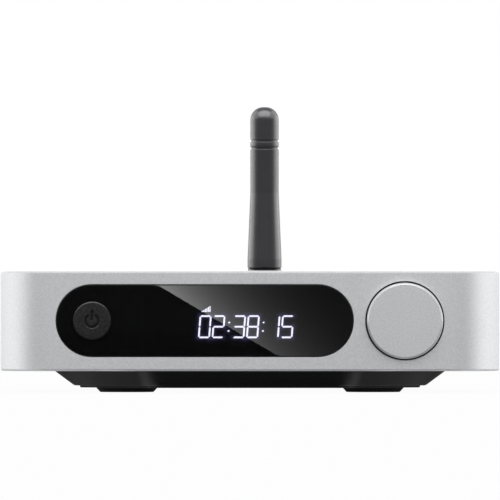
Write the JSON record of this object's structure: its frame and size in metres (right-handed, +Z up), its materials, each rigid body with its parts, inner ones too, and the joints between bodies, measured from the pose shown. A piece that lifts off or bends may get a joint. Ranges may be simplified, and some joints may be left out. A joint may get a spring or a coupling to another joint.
{
  "type": "network music streamer",
  "caption": "Compact desktop network music streamer: rounded aluminium case on an octagonal base, obround display window with power button, rotary knob and tilting stub antenna.",
  "frame": {"origin": "on the ground under the middle of the whole outline, halfway from the knob's face to the antenna's knuckle", "axes": "+Z up, -Y towards the front with the window and knob, +X to the viewer's right"},
  "size_m": [0.12, 0.144, 0.0698],
  "materials": {
    "bead_blasted_aluminium": "bead blasted, clear anodised",
    "turned_aluminium": "fine turned face, bright bevel",
    "base_plastic": "fine satin moulding",
    "foot_rubber": "matte",
    "screw_steel": "machine finish",
    "window_acrylic": "polished, smoked",
    "gasket_foam": "matte foam tape",
    "button_plastic": "fine satin",
    "black_plastic": "moulded",
    "display_glass": "polished",
    "light_guide": "milky, lit",
    "circuit_board": "green solder mask",
    "plated_metal": "tin plated sheet",
    "gold_plate": "gold plated",
    "connector_plastic": "moulded",
    "ribbon_film": "flat cable film",
    "chip_epoxy": "moulded epoxy",
    "capacitor_sleeve": "shrink film",
    "panel_plastic": "fine texture",
    "white_plastic": "moulded",
    "red_plastic": "moulded",
    "dark_red_lens": "clear lens",
    "antenna_plastic": "soft satin",
    "antenna_gloss": "smooth",
    "cable_jacket": "smooth jacket"
  },
  "bodies": {
    "case": {"case_shell": "bead_blasted_aluminium", "bottom_cover": "base_plastic", "rubber_feet": "foot_rubber", "case_screws": "screw_steel", "window_lens": "window_acrylic", "window_gasket": "gasket_foam", "power_switch": "black_plastic", "display_glass": "display_glass", "display_backlight": "light_guide", "display_frame": "black_plastic", "front_board": "circuit_board", "front_board_screws": "screw_steel", "encoder_body": "plated_metal", "main_board": "circuit_board", "main_board_screws": "screw_steel", "ribbon_connectors": "connector_plastic", "ribbon_cable": "ribbon_film", "processor_chip": "chip_epoxy", "dac_chip": "chip_epoxy", "filter_capacitors": "capacitor_sleeve", "clock_oscillators": "plated_metal", "wifi_module": "plated_metal", "antenna_lead": "cable_jacket", "antenna_jack": "gold_plate", "antenna_jack_washer": "plated_metal", "antenna_jack_nut": "gold_plate", "antenna_collar": "antenna_plastic", "rear_panel": "panel_plastic", "line_out_block": "black_plastic", "line_out_barrels": "gold_plate", "line_left_insulator": "white_plastic", "line_right_insulator": "red_plastic", "coax_block": "black_plastic", "coax_barrel": "gold_plate", "coax_insulator": "black_plastic", "optical_jack": "black_plastic", "optical_emitter": "dark_red_lens", "ethernet_shield": "plated_metal", "ethernet_insert": "black_plastic", "ethernet_contacts": "gold_plate", "dc_jack": "black_plastic", "dc_pin": "plated_metal"},
    "power_button": {"power_button": "button_plastic", "switch_plunger": "black_plastic"},
    "knob_carrier": {"encoder_plunger": "connector_plastic"},
    "knob": {"knob_cap": "turned_aluminium", "encoder_shaft": "plated_metal"},
    "antenna_base": {"antenna_knuckle": "antenna_gloss", "hinge_pin": "plated_metal"},
    "antenna_rod": {"antenna_ferrule": "antenna_gloss", "antenna_sleeve": "antenna_plastic", "antenna_radiator": "gold_plate"},
    "shutter": {"optical_shutter": "black_plastic"}
  },
  "joints": [
    {"name": "power_button_press", "type": "slide", "parent": "case", "child": "power_button", "axis": [0, 1, 0], "range_m": [0, 0.0004], "stiffness_N_per_m": 800, "springref_m": -0.0005},
    {"name": "knob_push", "type": "slide", "parent": "case", "child": "knob_carrier", "axis": [0, 1, 0], "range_m": [0, 0.0005], "stiffness_N_per_m": 1500, "springref_m": -0.0006},
    {"name": "knob_turn", "type": "hinge", "parent": "knob_carrier", "child": "knob", "pos_m": [0.03715, -0.067, 0.0174], "axis": [0, 1, 0], "continuous": true},
    {"name": "antenna_swivel", "type": "hinge", "parent": "case", "child": "antenna_base", "pos_m": [0.0036, 0.0617, 0.0175], "axis": [0, 1, 0], "continuous": true},
    {"name": "antenna_tilt", "type": "hinge", "parent": "antenna_base", "child": "antenna_rod", "pos_m": [0.0036, 0.0677, 0.0175], "axis": [-1, 0, 0], "range_deg": [0, 90]},
    {"name": "optical_shutter_swing", "type": "hinge", "parent": "case", "child": "shutter", "pos_m": [0.01495, 0.0521, 0.0186], "axis": [-1, 0, 0], "range_deg": [0, 80], "stiffness_Nm_per_rad": 0.0004, "springref_deg": -28.65}
  ]
}
